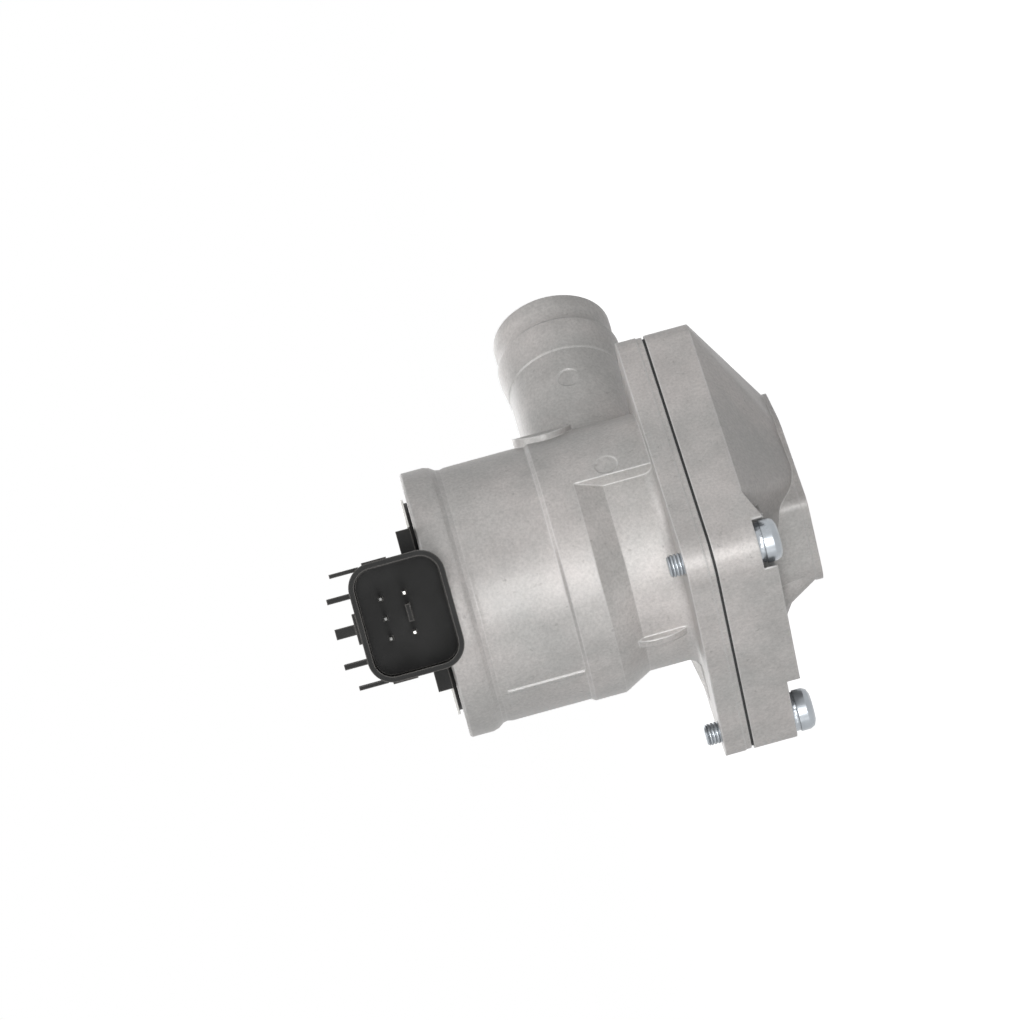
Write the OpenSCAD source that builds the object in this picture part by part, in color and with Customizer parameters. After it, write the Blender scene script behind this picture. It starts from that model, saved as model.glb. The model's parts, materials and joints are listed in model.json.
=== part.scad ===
// Air valve with a hose spigot: a solenoid lifts a spring-shut poppet, and a reed check
// valve behind it lets air leave only through the outlet. Millimetres.
// Origin: centre of the outlet port on its mounting face. +Z runs along the valve from
// the outlet to the connector end, +X along the hose spigot, and Y = 0 is the parting
// plane of the castings. Modules inside on_axis() count from the valve's own axis.

/* [Joint flanges] */
// Side of the square joint flanges
flange_w = 72; // [71:0.5:76]
// Corner radius of the joint flanges
flange_r = 7; // [5:0.5:8]
// Distance of the flanges' centre from the valve axis, away from the spigot
flange_shift = 2.5; // [2:0.1:3]
// Thickness of the outlet casting's flange
outlet_flange_t = 10; // [9:0.5:12]
// Thickness of the body's flange
body_flange_t = 6; // [5.5:0.5:8]
// Thickness of the gasket between them
gasket_t = 0.6; // [0.4:0.1:1]
// How far the gasket's edge lies inside the flanges' edge
gasket_inset = 0.5; // [0.2:0.1:1]
// Height of the raised pad on the open side of the outlet flange
pad_h = 3; // [2:0.2:3.4]

/* [Flange screws] */
// Distance of the screws from the flanges' edges
screw_edge = 6; // [5.5:0.5:6.5]
// Thread diameter
screw_d = 5; // [4:0.5:5]
// Head diameter
head_d = 9.5; // [9:0.1:10]
// Head height
head_h = 3.7; // [3:0.1:4]
// Length of thread that stands out past the body's flange
screw_tip = 3.3; // [2:0.1:4]
// Thread pitch
thread_pitch = 0.8; // [0.7:0.1:1]
// Radius of the flat round each head
spot_r = 6.2; // [5.6:0.1:6.4]
// Thickness of the spring washers
washer_t = 1.3; // [1:0.1:1.5]

/* [Outlet] */
// Height of the hood between the outlet face and the flange
hood_h = 14.4; // [13.5:0.1:16]
// Distance of the outlet port from the valve axis, towards the spigot
port_offset = 6.5; // [5.5:0.1:7]
// Radius of the outlet port
port_r = 11.5; // [10:0.5:12]
// Radius of the outlet flange round the port
outlet_r = 17; // [16:0.5:18]
// Radius of the outlet flange's ears
ear_r = 8.5; // [7.5:0.5:9]
// Spacing of the two outlet bolt holes
outlet_pitch = 35; // [34:0.5:37]
// Radius of the outlet bolt holes
outlet_hole_r = 3.3; // [3:0.1:3.5]
// Thickness of the outlet flange's lip
lip_t = 1.6; // [1.2:0.1:2.4]
// Depth of the blind outlet bolt holes
bolt_depth = 8; // [6:0.5:8]

/* [Body] */
// Radius of the solenoid barrel
shell_r = 29.4; // [29:0.1:30.2]
// Radius of the barrel's rim
rim_r = 30.6; // [30.2:0.1:31.5]
// Width of the barrel's rim
rim_w = 8.6; // [6:0.2:10]
// Radius of the chest round the air chamber
chest_r = 30; // [29.6:0.1:31]
// Radius of the waist cut into the chest
waist_r = 26.8; // [26.6:0.1:28]
// Radius of the air chamber
chamber_r = 23; // [22:0.5:23.5]
// Thickness of the chamber's floor
floor_t = 3; // [2.5:0.1:3.5]
// Thickness of the web between the chamber and the solenoid
web_t = 4.2; // [3:0.1:5]
// Radius of the barrel's bore
barrel_bore_r = 25.3; // [25:0.1:25.6]

/* [Spigot] */
// Distance from the valve axis to the spigot's end
spigot_len = 70.2; // [65:0.1:74]
// Outer radius of the spigot's tube
spigot_r = 13.5; // [13:0.1:14]
// Radius of the spigot's bore
spigot_bore_r = 10.8; // [10:0.1:11.2]
// Radius of the bead that holds the hose
bead_r = 14.5; // [14.2:0.1:15]
// Radius of the spigot's tip
spigot_tip_r = 13.9; // [13.7:0.1:14.2]

/* [Poppet] */
// Radius of the valve seat's hole
seat_r = 11; // [10:0.2:11.4]
// Height of the seat's ring above the chamber floor
seat_h = 2; // [1.5:0.1:2.5]
// Radius of the poppet
poppet_r = 13.6; // [13:0.1:14.5]
// Thickness of the poppet's plate
poppet_t = 2; // [1.6:0.1:2.4]
// Thickness of the poppet's rubber
poppet_seal_t = 1.4; // [1:0.1:1.8]
// Lift of the poppet
lift = 6; // [4:0.5:6.5]
// Radius of the stem
stem_r = 2.5; // [2.2:0.1:2.8]
// Wire diameter of the return spring
wire_d = 1.2; // [1:0.1:1.4]
// Mean radius of the return spring
spring_r = 7.6; // [7.4:0.1:8.2]
// Turns of the return spring
spring_turns = 5; // [4:1:6]

/* [Reed valve] */
// Length of the seat plate
plate_l = 40; // [39:0.5:41]
// Width of the seat plate
plate_w = 38; // [37.5:0.5:38.5]
// Thickness of the seat plate
plate_t = 4; // [3.5:0.1:4.5]
// Length of each window
window_l = 18; // [16:0.5:19]
// Width of each window
window_w = 11; // [9:0.5:11.5]
// Distance of each window's centre from the parting plane
window_y = 8; // [7.6:0.1:8.2]
// Thickness of the rubber seal on the plate
reed_seal_t = 0.8; // [0.6:0.1:1]
// Thickness of the reed
reed_t = 0.3; // [0.2:0.05:0.4]
// Widest opening angle of a petal
reed_open = 12; // [8:1:13]
// Thickness of the stopper
stopper_t = 1.2; // [1:0.1:1.5]

/* [Solenoid] */
// Length of the coil between its end plates
coil_l = 21.2; // [20:0.2:24]
// Thickness of the can's bottom
can_base_t = 2.4; // [2:0.1:3]
// Thickness of the can's wall
can_wall = 1.6; // [1.2:0.1:1.8]
// Thickness of the end plate
end_plate_t = 2.5; // [2:0.1:3]
// Radius of the plunger
plunger_r = 6.5; // [6:0.1:6.8]
// Length of the plunger
plunger_l = 10; // [9:0.5:10.5]
// Wall of the guide sleeve
sleeve_wall = 0.5; // [0.4:0.1:0.6]

/* [Cap and connector] */
// Radius of the cap's visible disc
cap_r = 24; // [23.5:0.1:24.4]
// Depth of the cap's rim inside the barrel
cap_inset = 1.6; // [1.5:0.1:2]
// Height of the disc above the barrel's end
disc_h = 0.7; // [0.5:0.1:1]
// Thickness of the retaining plate
retainer_t = 0.7; // [0.5:0.1:1]
// Width of the block on the cap
block_w = 36.5; // [35:0.5:38]
// Height of the block above the disc
block_h = 3.4; // [3:0.1:4.5]
// Direction of the connector, turned from the spigot
connector_turn = 229; // [215:1:240]
// Distance from the valve axis to the connector's rim
connector_reach = 50; // [48:0.5:54]
// Height of the connector along the valve axis
connector_h = 21.4; // [21:0.1:23]
// Width of the connector
connector_w = 26.4; // [25.5:0.1:28]
// Wall of the connector's shroud
shroud_wall = 1.25; // [1:0.05:1.6]
// Corner radius of the connector's shroud
shroud_r = 5.5; // [4:0.5:6.5]
// Side of the square pins
pin_w = 0.8; // [0.6:0.1:1]
// Spacing of the pins in a column
pin_pitch = 4.45; // [4:0.05:4.8]

/* [Hidden] */
$fn = 96;
// Overshoot of cuts past the faces that they open
cut = 0.1;
// Clearance between parts that are pressed or moulded together
seat_gap = 0.02;
// Radial clearance of the sliding fits
run_gap = 0.05;
// Clearance round parts that are dropped in
loose_gap = 0.2;

// Stations along the valve axis
z_flange = hood_h;
z_joint = z_flange + outlet_flange_t;
z_gasket = z_joint + gasket_t;
z_back = z_gasket + body_flange_t;
floor_rise = 0.8;
z_floor = z_back + floor_rise;
z_spigot = z_floor + spigot_bore_r;
z_web = z_spigot + spigot_bore_r;
z_coil = z_web + web_t;
z_bobbin = z_coil + can_base_t;
z_end_plate = z_bobbin + coil_l;
z_cap = z_end_plate + end_plate_t;
z_rim = z_cap + cap_inset;
z_disc = z_rim + disc_h;
z_block = z_disc + block_h;
z_seat = z_floor + seat_h;
z_poppet = z_seat + poppet_seal_t;
z_poppet_top = z_poppet + poppet_t;
z_plate = z_joint - plate_t;
z_seal = z_plate - reed_seal_t;
z_reed = z_seal - reed_t;
z_stopper = z_reed - stopper_t;

// Flange screws sit at three corners: the hood covers the fourth
screw_corners = [[-1, -1], [-1, 1], [1, 1]];
screw_pitch = flange_w - 2 * screw_edge;
screw_hole_r = screw_d / 2 + 0.4;
washer_bore_r = screw_d / 2 + 0.15;
washer_r = head_d / 2 - 0.3;

// Hood, from the valve axis: its base follows the flange's edge on the spigot side
hood_reach = flange_w / 2 - flange_shift;
hood_open_y = 22;
hood_left = -22.3;
hood_soft_r = 4;
hood_sharp_r = 1.5;
hood_inset = 0.8;
hood_end_z = 0.6;
hood_near = [-10, -13.2];
// Boss round the outlet's near ear: its flared foot on the flange, and its shoulder
boss_foot = [[-17, 11], [-12, 15]];
shoulder_r = 2.5;
boss_inset = 0.15;
tie_sink = 0.06;
shoulder = [-19.5, -15.8];
// Raised pad: its edge on the valve's open side, cut back beside the far screw
pad_side = flange_w / 2 + flange_shift;
pad_inner = -15;
pad_ramp_x = hood_left - 9.5;
pad_cut = [-22.8, 30];
pad_cut_y = 11.6;
ramp_w = 12;

// Reed chamber, centred between the valve axis and the port
reed_x = 3;
chamber_w = plate_w - 6;
chamber_l = plate_l - 5;
chamber_corner = 5;
z_chamber = 11.5;
root_l = 7;
root_margin = 1.5;
hinge_x = chamber_l / 2 - root_l - root_margin;
window_x = hinge_x - window_l / 2;
root_x = hinge_x + root_l / 2;
petal_w = window_w + 2.6;
petal_l = window_l + 4.4;
root_gap = 0.1;
reed_gap = 0.3;
stopper_slope = reed_open + 2;
reed_screw_y = 9;
reed_screw_r = 1.5;
reed_head_r = 2.8;
reed_head_h = 1.6;

// Step in the body flange's edge beside the gasket
seam_h = 1.3;
seam_step = 0.15;

// Waist of the body, between the flange and the full chest
waist_fillet = 2.5;
waist_top = z_back + 11.5;
chest_z = z_back + 18;
shell_z = z_web + 2.6;
waist_end_x = -2;
z_step = z_rim - rim_w;
root_boss_h = 1.4;
root_boss_r = 6.8;
root_boss_z = 9.4;
root_boss_turn = -41;
// Ridge on the parting plane, on the barrel and on the waist
ridge_w = 1;
ridge_h = 0.35;
fin_w = 2.2;
fin_h = 1.5;
fin_curve = 14;
// Low gussets between the waist and the flange's corners
gusset_t = 1.2;
gusset_h = 2.2;
gusset_end = 37.2;
// Channel to the sensor
channel_r = 1.5;

// Spigot stations from the valve axis, counted back from the tip
bead_x = spigot_len - 8.3;
crest_l = 2.1;
crest_x = bead_x - 0.3 - crest_l;
line_x = spigot_len - 17.2;
ejector_x = line_x - 9;
chest_mark_x = 1;
chest_mark_z = z_back + 9.7;
ejector_r = 2.6;
mark_depth = 0.3;

// Stem guide in the web
boss_r = 5.4;
boss_h = 4.6;
z_boss = z_web - boss_h;
cup_overhang = 2;
bush_r = 4.5;
seal_l = 1.5;
cup_t = 0.5;
z_cup = z_web - cup_t;
nut_r = 4.04;
nut_h = 3.2;
stud_r = 2;

// Solenoid stations and radii
can_r = barrel_bore_r - 0.3;
sleeve_r = plunger_r + run_gap + sleeve_wall;
z_plunger = z_coil + 0.4;
z_plunger_top = z_plunger + plunger_l;
z_core = z_plunger_top + lift + 0.5;
core_r = plunger_r;
pad_r = 3.5;
pad_t = 1.2;
pad_proud = 0.2;
bobbin_bore_r = sleeve_r + loose_gap;
bobbin_wall = 1.3;
bobbin_flange_t = 1.5;
bobbin_r = can_r - can_wall - 0.6;
winding_r = bobbin_r - 1;
can_top = z_cap - 1.4;
end_plate_r = can_r - can_wall - 0.1;
seal_minor = 0.68;
terminal_w = 2;
terminal_t = 0.8;
terminal_d = 20;

// Connector stations
z_connector = z_rim + 6.5;
shroud_back = rim_r + 0.9;
shroud_floor = shroud_back + 3;
column_low = z_connector - 0.85;
column_high = z_connector + 4.5;
pin_reach = connector_reach - 6;
riser_w = 22;
riser_in = 16.4;
cavity_w = block_w - 6.5;
z_cavity = z_block - 1.2;
board_t = 1.2;
z_board = z_disc + 0.3;
notch_w = 3;
sensor_w = 8;
sensor_t = 1.4;
sensor_pin_d = terminal_d - 2.4;
block_back = 15;
block_front = terminal_d + 7;
cavity_back = block_back - 3.5;
cavity_front = block_front - 2;
cap_lip_z = z_cap + 0.8;

key_w = 3.9;
key_h = 1;
// The pins' columns stand a little to one side of the shroud's middle
pin_shift = 0.5;

// Ribs on the connector's shroud
rib_l = 7;
rib_setback = 9;
guard_h = 3.2;
guide_h = 5.1;
nub_h = 5.1;

module on_axis() {
    translate([-port_offset, 0, 0]) children();
}

module on_flange() {
    on_axis() translate([-flange_shift, 0, 0]) children();
}

module at_screws() {
    on_flange() for (c = screw_corners)
        translate([c[0] * screw_pitch / 2, c[1] * screw_pitch / 2, 0]) children();
}

// Along the connector: X runs outwards to the rim, Y across it
module at_connector() {
    on_axis() rotate([0, 0, connector_turn]) children();
}

// From z_low to z_high
module between(z_low, z_high) {
    translate([0, 0, z_low]) linear_extrude(z_high - z_low) children();
}

module rounded_rect(w, d, r) {
    square([w - 2 * r, d], center = true);
    square([w, d - 2 * r], center = true);
    for (x = [-1, 1], y = [-1, 1])
        translate([x * (w / 2 - r), y * (d / 2 - r)]) circle(r);
}

module ring(z_low, z_high, r_in, r_out) {
    difference() {
        translate([0, 0, z_low]) cylinder(h = z_high - z_low, r = r_out);
        translate([0, 0, z_low - cut]) cylinder(h = z_high - z_low + 2 * cut, r = r_in);
    }
}

module disc(z_low, z_high, r) {
    translate([0, 0, z_low]) cylinder(h = z_high - z_low, r = r);
}

// Fills in between two circles along their outer tangents
module tie(c1, r1, c2, r2) {
    line = c2 - c1;
    base = atan2(line[1], line[0]);
    a = acos((r1 - r2) / norm(line));
    polygon([
        for (p = [[c1, r1, 1], [c2, r2, 1], [c2, r2, -1], [c1, r1, -1]])
            p[0] + p[1] * [cos(base + p[2] * a), sin(base + p[2] * a)]
    ]);
}

// Outline of the outlet flange: a round centre, two ears and the near ear's shoulder
module outlet_outline() {
    s = outlet_pitch / 2;
    circle(outlet_r);
    for (side = [-1, 1]) {
        translate([side * s, 0]) circle(ear_r);
        tie([0, 0], outlet_r, [side * s, 0], ear_r);
    }
    near_ear(0);
}

// The near ear with its shoulder
module near_ear(inset) {
    ear = [-outlet_pitch / 2, 0];
    translate(ear) circle(ear_r - inset);
    translate(shoulder) circle(shoulder_r - inset);
    tie([0, 0], outlet_r - tie_sink - inset, shoulder, shoulder_r - inset);
    tie(ear, ear_r - inset, shoulder, shoulder_r - inset);
}

module chamber_outline(grow) {
    translate([reed_x, 0])
        rounded_rect(chamber_l + 2 * grow, chamber_w + 2 * grow, chamber_corner);
}

// Castings

module body_outside() {
    on_flange() {
        between(z_gasket + seam_h, z_back) rounded_rect(flange_w, flange_w, flange_r);
        between(z_gasket, z_gasket + seam_h)
            rounded_rect(flange_w - 2 * seam_step, flange_w - 2 * seam_step, flange_r);
    }
    on_axis() {
        difference() {
            rotate_extrude() polygon([
                [0, z_back - 1], [chest_r, z_back - 1], [chest_r, shell_z],
                [shell_r, shell_z + 0.8], [shell_r, z_step - 1.6],
                [shell_r - 0.25, z_step - 0.4], [shell_r - 0.05, z_step + 0.6],
                [rim_r - 0.4, z_step + 1.8], [rim_r, z_step + 3.2],
                [rim_r, z_rim - 0.5], [rim_r - 0.5, z_rim], [0, z_rim]
            ]);
            waist_cut();
        }
        root_boss();
        parting_ridge();
        gussets();
        spigot_outside();
    }
}

// Boss on the chest beside the spigot's root, on the barrel's side
module root_boss() {
    intersection() {
        disc(z_back, z_rim - rim_w, chest_r + root_boss_h);
        rotate([0, 0, root_boss_turn]) translate([chamber_r, 0, z_spigot + root_boss_z])
            rotate([0, 90, 0]) cylinder(h = chest_r - chamber_r + root_boss_h, r = root_boss_r);
    }
}

// The waist runs round the side away from the spigot and ends in a ledge each way
module waist_cut() {
    intersection() {
        rotate_extrude() polygon(concat(
            [for (a = [0:15:90]) [
                waist_r + waist_fillet - waist_fillet * sin(a),
                z_back + waist_fillet - waist_fillet * cos(a)
            ]],
            [[waist_r, waist_top], [chest_r + cut, chest_z], [chest_r + 4, chest_z],
                [chest_r + 4, z_back]]
        ));
        translate([-2 * chest_r, -2 * chest_r, z_back])
            cube([2 * chest_r + waist_end_x, 4 * chest_r, chest_z - z_back]);
    }
}

module parting_ridge() {
    translate([-shell_r - ridge_h, 0, shell_z + 1])
        cube([ridge_h + 2, ridge_w, z_rim - rim_w - shell_z - 3]);
    intersection() {
        translate([-waist_r - fin_h, -fin_w, z_back - 1])
            cube([fin_h + 2, fin_w, chest_z - z_back - 1]);
        translate([fin_curve - waist_r - fin_h - 0.1, cut, z_back + fin_curve / 2 + 1])
            rotate([90, 0, 0]) cylinder(h = fin_w + 2 * cut, r = fin_curve);
    }
}

module gussets() {
    for (turn = [45, 135]) rotate([0, 0, turn]) translate([0, gusset_t / 2, z_back - cut])
        rotate([90, 0, 0]) linear_extrude(gusset_t)
            polygon([[waist_r - 1, 0], [waist_r - 1, gusset_h], [gusset_end, cut],
                [gusset_end, 0]]);
}

module spigot_outside() {
    root_r = spigot_r + 1.2;
    translate([0, 0, z_spigot]) rotate([0, 90, 0]) rotate_extrude() polygon([
        [0, chamber_r], [root_r, chamber_r], [root_r, chest_r - 4.5],
        [spigot_r + 0.5, chest_r - 2.5], [spigot_r, chest_r],
        [spigot_r, line_x], [spigot_r + 0.2, line_x + 0.25],
        [bead_r, crest_x], [bead_r, crest_x + crest_l], [bead_r - 0.3, bead_x],
        [spigot_r + 0.1, bead_x + 0.6], [spigot_r, bead_x + 1.2],
        [spigot_r, bead_x + 3.2], [spigot_tip_r, bead_x + 5.2],
        [spigot_tip_r, spigot_len - 0.6], [spigot_tip_r - 0.6, spigot_len],
        [0, spigot_len]
    ]);
}

module body_inside() {
    on_axis() {
        // Solenoid barrel and the lip rolled over the cap
        disc(z_coil, cap_lip_z, barrel_bore_r);
        disc(cap_lip_z - cut, z_rim + cut, cap_r + loose_gap);
        // Air chamber round the stem boss
        difference() {
            disc(z_floor, z_web, chamber_r);
            disc(z_boss, z_web + cut, boss_r);
            ring(z_floor - cut, z_seat, seat_r, seat_r + 2);
        }
        disc(z_boss - cut, z_coil + cut, bush_r + seat_gap);
        disc(z_gasket, z_seat + cut, seat_r);
        between(z_gasket - cut, z_back + floor_rise - floor_t) chamber_outline(0);
        // Hose bore
        translate([chamber_r - 4, 0, z_spigot]) rotate([0, 90, 0])
            cylinder(h = spigot_len - chamber_r + 5, r = spigot_bore_r);
        pressure_channel();
        // Round ejector marks, sunk in the tube and in the chest
        translate([ejector_x, mark_depth - spigot_r, z_spigot - 0.5])
            rotate([90, 0, 0]) cylinder(h = spigot_r, r = ejector_r);
        translate([chest_mark_x, mark_depth - chest_r, chest_mark_z])
            rotate([90, 0, 0]) cylinder(h = chest_r, r = ejector_r);
    }
    at_screws() disc(z_gasket - cut, z_back + floor_rise, screw_d / 2 + seat_gap);
}

// Small channel from the chamber past the solenoid to the sensor in the cap
module pressure_channel() {
    translate([-chamber_r + channel_r + 0.5, 0, z_web - cut])
        cylinder(h = web_t + 2 * cut, r = channel_r);
    translate([-barrel_bore_r - 1.2, -channel_r, z_coil - 1])
        cube([6, 2 * channel_r, 1 + cut]);
    translate([-barrel_bore_r, 0, z_coil - 1])
        cylinder(h = cap_lip_z - z_coil + 1, r = channel_r);
}

module valve_body() {
    color("silver") difference() {
        body_outside();
        body_inside();
    }
}

// Slanted hood from the flange down to the outlet
module hood_outside() {
    near_y = -flange_w / 2;
    hull() {
        between(hood_end_z, lip_t) {
            circle(outlet_r - hood_inset, $fn = 32);
            translate([outlet_pitch / 2, 0]) circle(ear_r - hood_inset, $fn = 32);
            translate(hood_near) circle(hood_soft_r, $fn = 32);
        }
        on_axis() between(z_flange - 0.01, z_flange + 1) {
            translate([hood_reach - flange_r, near_y + flange_r]) circle(flange_r, $fn = 32);
            translate([hood_left + hood_sharp_r, near_y + hood_sharp_r])
                circle(hood_sharp_r, $fn = 32);
            for (x = [hood_left + hood_soft_r, hood_reach - hood_soft_r])
                translate([x, hood_open_y - hood_soft_r]) circle(hood_soft_r, $fn = 32);
        }
    }
    // The near ear's boss stands straight and flares out behind
    between(hood_end_z, z_flange + 1) near_ear(boss_inset);
    hull() {
        between(hood_end_z, lip_t) translate([-outlet_pitch / 2, 0])
            circle(ear_r - hood_inset, $fn = 32);
        on_axis() between(z_flange - 0.01, z_flange + 1) for (foot = boss_foot)
            translate(foot) circle(hood_soft_r, $fn = 32);
    }
}

// Pad on the flange, with its ramp at the near screw
module outlet_pad() {
    z_pad = z_flange - pad_h;
    intersection() {
        union() {
            on_axis() between(z_pad, z_flange) polygon([
                [-pad_side, -flange_w / 2], [pad_ramp_x, -flange_w / 2],
                [pad_inner, ramp_w - flange_w / 2], [pad_inner, flange_w / 2], pad_cut,
                [-pad_side, pad_cut_y]
            ]);
            on_axis() translate([0, ramp_w - flange_w / 2, 0]) rotate([90, 0, 0])
                linear_extrude(ramp_w) polygon([
                    [pad_ramp_x - 0.1, z_pad], [pad_ramp_x, z_pad], [hood_left, z_flange],
                    [pad_ramp_x - 0.1, z_flange]
                ]);
        }
        on_flange() between(z_pad - 1, z_flange + 1) rounded_rect(flange_w, flange_w, flange_r);
    }
}

module outlet_housing() {
    color("silver") difference() {
        union() {
            between(0, lip_t) outlet_outline();
            hood_outside();
            on_flange() between(z_flange, z_joint) rounded_rect(flange_w, flange_w, flange_r);
            outlet_pad();
        }
        disc(-cut, z_chamber + cut, port_r);
        on_axis() {
            between(z_chamber, z_joint) chamber_outline(0);
            between(z_plate, z_joint + cut) translate([reed_x, 0])
                rounded_rect(plate_l + 2 * loose_gap, plate_w + 2 * loose_gap, chamber_corner);
        }
        for (side = [-1, 1]) translate([side * outlet_pitch / 2, 0, -cut])
            cylinder(h = bolt_depth + cut, r = outlet_hole_r);
        at_screws() {
            disc(z_flange - pad_h - cut, z_flange, spot_r);
            disc(z_flange - cut, z_joint + cut, screw_hole_r);
        }
        // The near screw's corner is open outwards
        on_flange() translate([-flange_w / 2 - cut, -flange_w / 2 - cut, z_flange - pad_h - cut])
            cube([screw_edge + cut, screw_edge + cut, pad_h + cut]);
    }
}

module flange_gasket() {
    side = flange_w - 2 * gasket_inset;
    color("dimgray") difference() {
        on_flange() between(z_joint, z_gasket) rounded_rect(side, side, flange_r);
        on_axis() between(z_joint - cut, z_gasket + cut) chamber_outline(0);
        at_screws() disc(z_joint - cut, z_gasket + cut, screw_hole_r);
    }
}

// Fasteners

module torx_recess(r, depth) {
    translate([0, 0, -cut]) linear_extrude(depth + cut) {
        circle(r * 0.78, $fn = 24);
        for (a = [0:60:300]) rotate(a) translate([r * 0.72, 0]) circle(r * 0.28, $fn = 24);
    }
}

module flange_screw() {
    z_head = z_flange - washer_t - head_h;
    r = screw_d / 2;
    grooves = floor(screw_tip / thread_pitch);
    difference() {
        rotate_extrude() polygon(concat(
            [[0, z_head], [head_d / 2 - 1.6, z_head], [head_d / 2 - 0.5, z_head + 0.5],
                [head_d / 2, z_head + 1.5], [head_d / 2, z_head + head_h],
                [r, z_head + head_h], [r, z_back]],
            [for (i = [0:grooves - 1], step = [0, 1, 2]) [
                r - (step == 1 ? 0.3 : 0), z_back + (i + step * 0.3) * thread_pitch
            ]],
            [[r, z_back + screw_tip - 0.6], [r - 0.5, z_back + screw_tip],
                [0, z_back + screw_tip]]
        ));
        translate([0, 0, z_head]) torx_recess(2.2, 2);
    }
}

module flange_screws() {
    color("lightsteelblue") at_screws() flange_screw();
}

module screw_washers() {
    slit = 0.8;
    color("lightsteelblue") at_screws() difference() {
        ring(z_flange - washer_t, z_flange, washer_bore_r, washer_r);
        translate([0, -slit / 2, z_flange - washer_t - cut]) rotate([20, 0, 0])
            cube([head_d, slit, 2 * washer_t + 1]);
    }
}

// Reed valve

module windows(z_low, z_high, grow) {
    for (side = [-1, 1]) translate([window_x, side * window_y, 0]) between(z_low, z_high)
        rounded_rect(window_l + 2 * grow, window_w + 2 * grow, 2);
}

module reed_screw_holes(z_low, z_high, r) {
    for (side = [-1, 1]) translate([root_x, side * reed_screw_y, 0])
        disc(z_low, z_high, r);
}

module in_reed() {
    on_axis() translate([reed_x, 0, 0]) children();
}

module reed_seat_plate() {
    color("gainsboro") in_reed() difference() {
        between(z_plate, z_joint) rounded_rect(plate_l, plate_w, chamber_corner);
        windows(z_plate - cut, z_joint + cut, 0);
        reed_screw_holes(z_plate - cut, z_joint - 0.6, reed_screw_r + seat_gap);
    }
}

module reed_seat_seal() {
    edge = 0.6;
    color("black") in_reed() difference() {
        between(z_seal, z_plate) rounded_rect(chamber_l - 2 * edge, chamber_w - 2 * edge, 4);
        windows(z_seal - cut, z_plate + cut, 0);
        reed_screw_holes(z_seal - cut, z_plate + cut, reed_screw_r + seat_gap);
    }
}

module reed_root() {
    color("lightgray") in_reed() difference() {
        translate([0, 0, z_reed]) linear_extrude(reed_t) intersection() {
            translate([hinge_x, -window_y - petal_w / 2]) square([root_l, 2 * window_y + petal_w]);
            reed_space();
        }
        reed_screw_holes(z_reed - cut, z_seal + cut, reed_screw_r + seat_gap);
    }
}

// Outline of the chamber less a clearance, round the clamped end of the reed
module reed_space() {
    rounded_rect(chamber_l - 2 * reed_gap, chamber_w - 2 * reed_gap, chamber_corner);
}

module reed_petal(side) {
    tip_r = 4;
    in_reed() translate([hinge_x - root_gap - petal_l / 2, side * window_y, 0])
        between(z_reed, z_seal - seat_gap) {
            translate([tip_r / 2, 0]) square([petal_l - tip_r, petal_w], center = true);
            rounded_rect(petal_l, petal_w, tip_r);
        }
}

module reed_petal_left() {
    color("lightgray") reed_petal(-1);
}

module reed_petal_right() {
    color("lightgray") reed_petal(1);
}

module reed_stopper() {
    w = 2 * window_y + petal_w;
    guard = petal_l - 1;
    drop = guard * tan(stopper_slope);
    bend = 0.1;
    x = hinge_x;
    color("silver") in_reed() difference() {
        intersection() {
            translate([0, w / 2, 0]) rotate([90, 0, 0]) linear_extrude(w) polygon([
                [x + root_l, z_reed], [x, z_reed], [x, z_reed - bend],
                [x - guard, z_reed - bend - drop], [x - guard, z_reed - bend - drop - stopper_t],
                [x, z_stopper], [x + root_l, z_stopper]
            ]);
            between(z_chamber, z_seal) reed_space();
        }
        reed_screw_holes(z_stopper - 1, z_reed + cut, reed_screw_r + seat_gap);
        for (side = [-1, 1]) translate([x - guard / 2 - 1, side * window_y, z_reed - 10])
            cylinder(h = 12, r = 2.5);
    }
}

module reed_screws() {
    color("lightsteelblue") in_reed() difference() {
        union() {
            reed_screw_holes(z_stopper - reed_head_h, z_stopper, reed_head_r);
            reed_screw_holes(z_stopper - cut, z_joint - 0.8, reed_screw_r);
        }
        for (side = [-1, 1])
            translate([root_x, side * reed_screw_y, z_stopper - reed_head_h])
                torx_recess(1.4, 0.9);
    }
}

// Poppet and stem

module poppet_plate() {
    color("silver") on_axis() ring(z_poppet, z_poppet_top, stud_r + seat_gap, poppet_r);
}

module poppet_seal() {
    color("black") on_axis() ring(z_seat, z_poppet, seat_r - 0.8, poppet_r);
}

module poppet_nut() {
    color("lightsteelblue") on_axis() difference() {
        translate([0, 0, z_poppet - nut_h]) cylinder(h = nut_h, r = nut_r, $fn = 6);
        disc(z_poppet - nut_h - cut, z_poppet + cut, stud_r + seat_gap);
    }
}

module valve_stem() {
    color("silver") on_axis() {
        disc(z_poppet - nut_h - 0.8, z_poppet_top, stud_r);
        disc(z_poppet_top, z_plunger_top - 1.5, stem_r);
        disc(z_poppet_top, z_poppet_top + 1, stem_r + 1.4);
    }
}

module plunger() {
    color("darkgray") on_axis() difference() {
        disc(z_plunger, z_plunger_top, plunger_r);
        disc(z_plunger - cut, z_plunger_top - 1.5 + seat_gap, stem_r + seat_gap);
        for (a = [0, 180]) rotate(a) translate([plunger_r, 0, z_plunger - cut])
            cylinder(h = plunger_l + 2 * cut, r = 1);
    }
}

// Return spring: the first and last turns are closed up, the rest climb evenly
spring_steps = 14;
spring_rings = spring_turns * spring_steps;
spring_sides = 8;
z_spring = z_poppet_top;
spring_rise = z_cup - z_spring - wire_d;
closed_pitch = wire_d + 0.06;
open_pitch = (spring_rise - 2 * closed_pitch) / (spring_turns - 2);

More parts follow.
